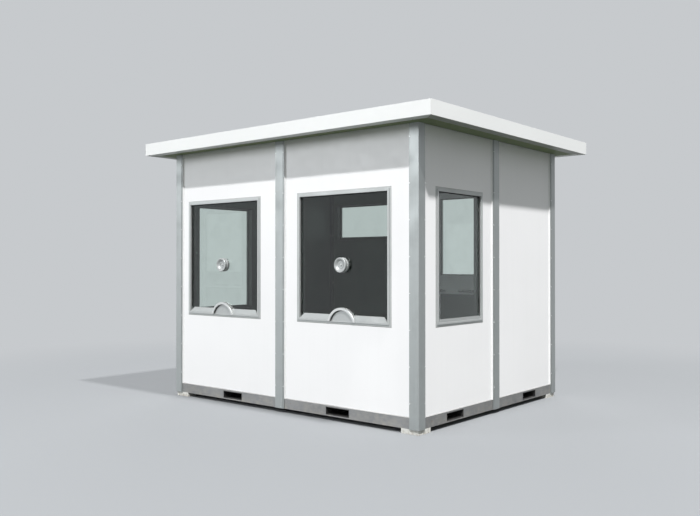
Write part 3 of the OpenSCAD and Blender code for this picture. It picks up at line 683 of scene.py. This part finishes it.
class Shape:
    """The points and faces of one piece, gathered from its repeated parts."""

    def __init__(self):
        self.points = []
        self.faces = []

    def skin(self, rings, loop=False):
        """Joins closed rings of points in a row. The row is a loop, or gets a cap at either end."""
        first, count = len(self.points), len(rings[0])
        starts = [first + i * count for i in range(len(rings))]
        for ring in rings:
            self.points += ring
        for a, b in zip(starts, starts[1:] + starts[:1] if loop else starts[1:]):
            self.faces += [(a + k, a + (k + 1) % count, b + (k + 1) % count, b + k) for k in range(count)]
        if not loop:
            self.faces += [tuple(start + k for k in range(count)) for start in (starts[0], starts[-1])]

    def bead(self, wall, path, profile, depth, loop=False):
        """Sweeps a closed profile at this depth, along a path of places on the wall and the ways out from
        them, each as a pair of across and up."""
        self.skin([[wall.point(across + out * reach, depth - height, up + out_up * reach)
                    for reach, height in profile] for (across, up), (out, out_up) in path], loop)

    def head(self, point, axis, turn, rings, sides=24):
        """A fastener's head or washer."""
        side = axis.orthogonal().normalized()
        other = axis.cross(side)
        shape = []
        for height, radius, flat in rings:
            ring = []
            for i in range(sides):
                angle = math.tau * i / sides
                reach = radius
                if flat:
                    reach = min(radius, flat / math.cos(angle % HEX_SECTOR - HEX_SECTOR / 2))
                direction = side * math.cos(angle + turn) + other * math.sin(angle + turn)
                ring.append(point + axis * height + direction * reach)
            shape.append(ring)
        self.skin(shape)

    def heads(self, spots, rings):
        """Heads at every spot of (point, axis), each turned another way."""
        for number, (point, axis) in enumerate(spots):
            self.head(point, axis, number * GOLDEN_TURN, rings)

    def piece(self, name, material, slot=None):
        """Makes the object, on the root body."""
        mesh = bpy.data.meshes.new(name)
        mesh.from_pydata([tuple(p) for p in self.points], [], self.faces)
        work = bmesh.new()
        work.from_mesh(mesh)
        bmesh.ops.recalc_face_normals(work, faces=work.faces)
        for face in work.faces:
            face.smooth = True
        work.to_mesh(mesh)
        work.free()
        mesh.set_sharp_from_angle(angle=SHARP_ANGLE)
        mesh.materials.append(MATERIALS[material])
        made = bpy.data.objects.new(name, mesh)
        scene.collection.objects.link(made)
        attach(made, "root")


# Added pieces

def add_post_screws():
    """Hexagon heads on washers, in rows up the posts' screw strips."""
    spots = [(wall.point(across, STRIP_DEPTH, height), -wall.inward)
             for wall in WALLS.values() for across in wall.screw_strips() for height in SCREW_HEIGHTS]
    screws, washers = Shape(), Shape()
    screws.heads(spots, HEX_HEAD)
    washers.heads(spots, WASHER)
    screws.piece("post_screws", "screw_zinc", "hardware")
    washers.piece("post_screw_washers", "gasket")


def add_post_highlight_sealant():
    """White beads that fill the step between every post's side and the panel beside it: partly sealant,
    partly a painted highlight that makes the metal sides as pale as in sunlight.
    """
    beads = Shape()
    for wall in WALLS.values():
        for across, out in zip(wall.post_sides(), (1, -1, 1, -1)):
            path = straight(((across, RAIL_TOP), (across, WALL_TOP)), (out, 0))
            beads.bead(wall, path, POST_BEAD, PANEL_DEPTH)
    beads.piece("post_highlight_sealant", "white_highlight_sealant", "panel_skin")


def add_frame_sealant():
    """Fillets of sealant around the window frames and the door frame."""
    beads = Shape()
    for node, side in WINDOW_FRAMES.items():
        wall = WALLS[side]
        beads.bead(wall, around(*wall.span(node)), FRAME_BEAD, PANEL_DEPTH, loop=True)
    wall = WALLS["back"]
    across, heights = wall.span("door_frame")
    beads.bead(wall, over(across, (RAIL_TOP, heights[1])), DOOR_BEAD, PANEL_DEPTH)
    beads.piece("frame_sealant", "sealant", "panel_skin")


def add_base_sealant():
    """A bead in the corner between the base rail's ledge and the panels."""
    beads = Shape()
    for wall in WALLS.values():
        places = [(across, RAIL_TOP) for across in wall.post_sides()]
        for ends in (places[:2], places[2:]):
            beads.bead(wall, straight(ends, (0, 1)), BASE_BEAD, PANEL_DEPTH)
    beads.piece("base_sealant", "sealant", "panel_skin")


def add_cover_shadow_seals():
    """Dark half-round seals between the pass-through trims and their closing plates, partly painted shadow
    of the trims on the plates.
    """
    seals = Shape()
    wall = WALLS["front"]
    trims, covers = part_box("pass_through_trims"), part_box("pass_through_covers")
    centre_height = trims[1].z - ARCH_OUTER_R
    plate_depth = covers[0].y + HALF_D
    inner = ARCH_INNER_R - COVER_SHADOW_SEAL_WIDTH
    profile = [(inner, 0), (inner, COVER_SHADOW_SEAL_HEIGHT - COVER_SHADOW_SEAL_CHAMFER),
               (inner + COVER_SHADOW_SEAL_CHAMFER, COVER_SHADOW_SEAL_HEIGHT), (ARCH_INNER_R, COVER_SHADOW_SEAL_HEIGHT),
               (ARCH_INNER_R, 0)]
    start = math.asin((covers[0].z - centre_height) / ARCH_INNER_R)
    angles = [start + (math.pi - 2 * start) * i / COVER_SHADOW_SEAL_STEPS for i in range(COVER_SHADOW_SEAL_STEPS + 1)]
    for node in ("window_frame_front_left", "window_frame_front_right"):
        centre = sum(wall.span(node)[0]) / 2
        path = [((centre, centre_height), (math.cos(angle), math.sin(angle))) for angle in angles]
        seals.bead(wall, path, profile, plate_depth)
    seals.piece("cover_shadow_seals", "gasket")


def add_door_seals():
    """A bulb seal in the gap around the leaf, and a brush under it."""
    wall = WALLS["back"]
    across, heights = wall.span("door_leaf")
    depth = LEAF_DEPTH + DOOR_SEAL_DEPTH
    seals = Shape()
    seals.bead(wall, over(across, heights), BULB_SEAL, depth)
    seals.bead(wall, straight([(end, heights[0]) for end in across], (0, -1)), BRUSH_SEAL, depth)
    seals.piece("door_seals", "gasket")


def add_door_screws():
    """Countersunk screws in the hinges, lever plate and threshold."""
    wall = WALLS["back"]
    outward = -wall.inward
    spots = []
    across, (low, high) = wall.span("door_hinges")
    pin = sum(across) / 2
    pitch = (high - low - HINGE_HEIGHT) / (HINGES - 1)
    for hinge in range(HINGES):
        middle = low + HINGE_HEIGHT / 2 + hinge * pitch
        for side in (-1, 1):
            for step in (-1, 0, 1):
                out = side * (HINGE_SCREW_OUT - HINGE_SCREW_STAGGER * abs(step))
                height = middle + step * HINGE_SCREW_PITCH
                spots.append((wall.point(pin + out, LEAF_DEPTH - HINGE_PLATE_THICKNESS, height), outward))
    lever_height = sum(wall.span("door_lever")[1]) / 2
    lever_across = wall.span("door_leaf")[0][0] + LEVER_BACKSET
    for up in (-LEVER_SCREW_UP, LEVER_SCREW_UP):
        point = wall.point(lever_across, LEAF_DEPTH - LEVER_PLATE_THICKNESS, lever_height + up)
        spots.append((point, outward))
    across, heights = wall.span("door_threshold")
    spots += [(wall.point(place, PANEL_DEPTH + THRESHOLD_SCREW_IN, heights[1]), UP)
              for place in middles(*across, THRESHOLD_SCREWS)]
    screws = Shape()
    screws.heads(spots, FLAT_HEAD)
    screws.piece("door_screws", "hardware")


def add_inner_screws():
    """Pan heads on the trims inside the room, at every second row of the posts' screws."""
    spots = []
    depth = ROOM_DEPTH + INNER_TRIM_THICKNESS
    for wall in WALLS.values():
        corner = wall.length / 2 - ROOM_DEPTH - CORNER_TRIM_SCREW
        places = [wall.middle - MID_TRIM_SCREW, wall.middle + MID_TRIM_SCREW, -corner, corner]
        spots += [(wall.point(across, depth, height), wall.inward)
                  for height in SCREW_HEIGHTS[1::2] for across in places]
    screws = Shape()
    screws.heads(spots, PAN_HEAD)
    screws.piece("inner_cover_screws", "hardware")


def add_edge_screws():
    """Pan heads under the roof's edge trim."""
    low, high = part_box("roof_fascia")
    spots = []
    for side in (-1, 1):
        spots += [(Vector((x, side * (high.y - EDGE_SCREW_INSET), low.z)), -UP)
                  for x in middles(low.x, high.x, LONG_EDGE_SCREWS)]
        spots += [(Vector((side * (high.x - EDGE_SCREW_INSET), y, low.z)), -UP)
                  for y in middles(low.y, high.y, SHORT_EDGE_SCREWS)]
    screws = Shape()
    screws.heads(spots, PAN_HEAD)
    screws.piece("edge_trim_screws", "hardware")


add_camera()
add_lamp("key", azimuth=37, elevation=51, distance=60, size=1.6, strength=1.07)
add_lamp("side_fill", azimuth=80, elevation=63.5, distance=40, size=1.6, strength=0.645)
add_lamp("front_fill", azimuth=-38, elevation=16, distance=40, size=11, strength=0.31, colour=SKY_TINT)
add_lamp("back_fill", azimuth=-140, elevation=15, distance=40, size=20, strength=0.42)
add_world(strength=0.54)
add_floor(radius=60, material=floor_material(fade=(3.6, 7.5), colour=FLOOR, bounce=FLOOR_BOUNCE))
dress_nodes()
add_post_screws()
add_post_highlight_sealant()
add_frame_sealant()
add_base_sealant()
add_cover_shadow_seals()
add_door_seals()
add_door_screws()
add_inner_screws()
add_edge_screws()
